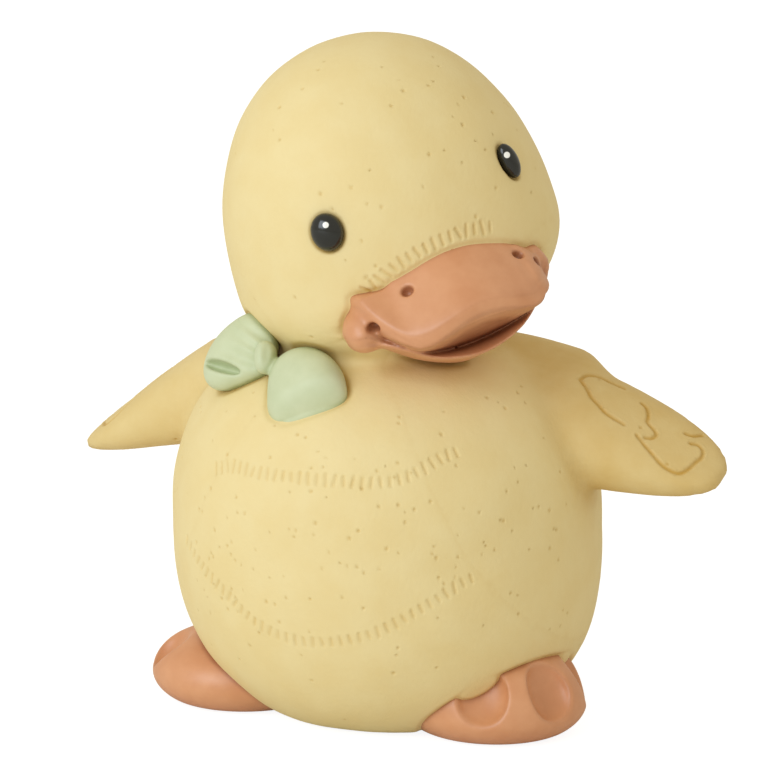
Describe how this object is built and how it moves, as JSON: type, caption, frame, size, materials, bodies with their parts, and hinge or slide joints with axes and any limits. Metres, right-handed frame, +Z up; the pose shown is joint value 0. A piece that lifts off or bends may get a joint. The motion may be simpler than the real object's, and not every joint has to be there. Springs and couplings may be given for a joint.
{
  "type": "duckling figurine",
  "caption": "Plump standing duckling figurine cast in one piece, head turned and tilted, bill a little open, wings held out, with a bow at the neck.",
  "frame": {"origin": "centre of the flat base, on the table, under the middle of the body", "axes": "+Z up; the body faces -Y; the duckling's own left side is at +X"},
  "size_m": [0.0988, 0.0696, 0.099],
  "materials": {
    "painted_resin": "matt pale yellow paint over cast resin; bill and feet coral, bow pale green, eyes gloss black"
  },
  "bodies": {
    "root": {"duckling_casting": "painted_resin"}
  },
  "joints": []
}
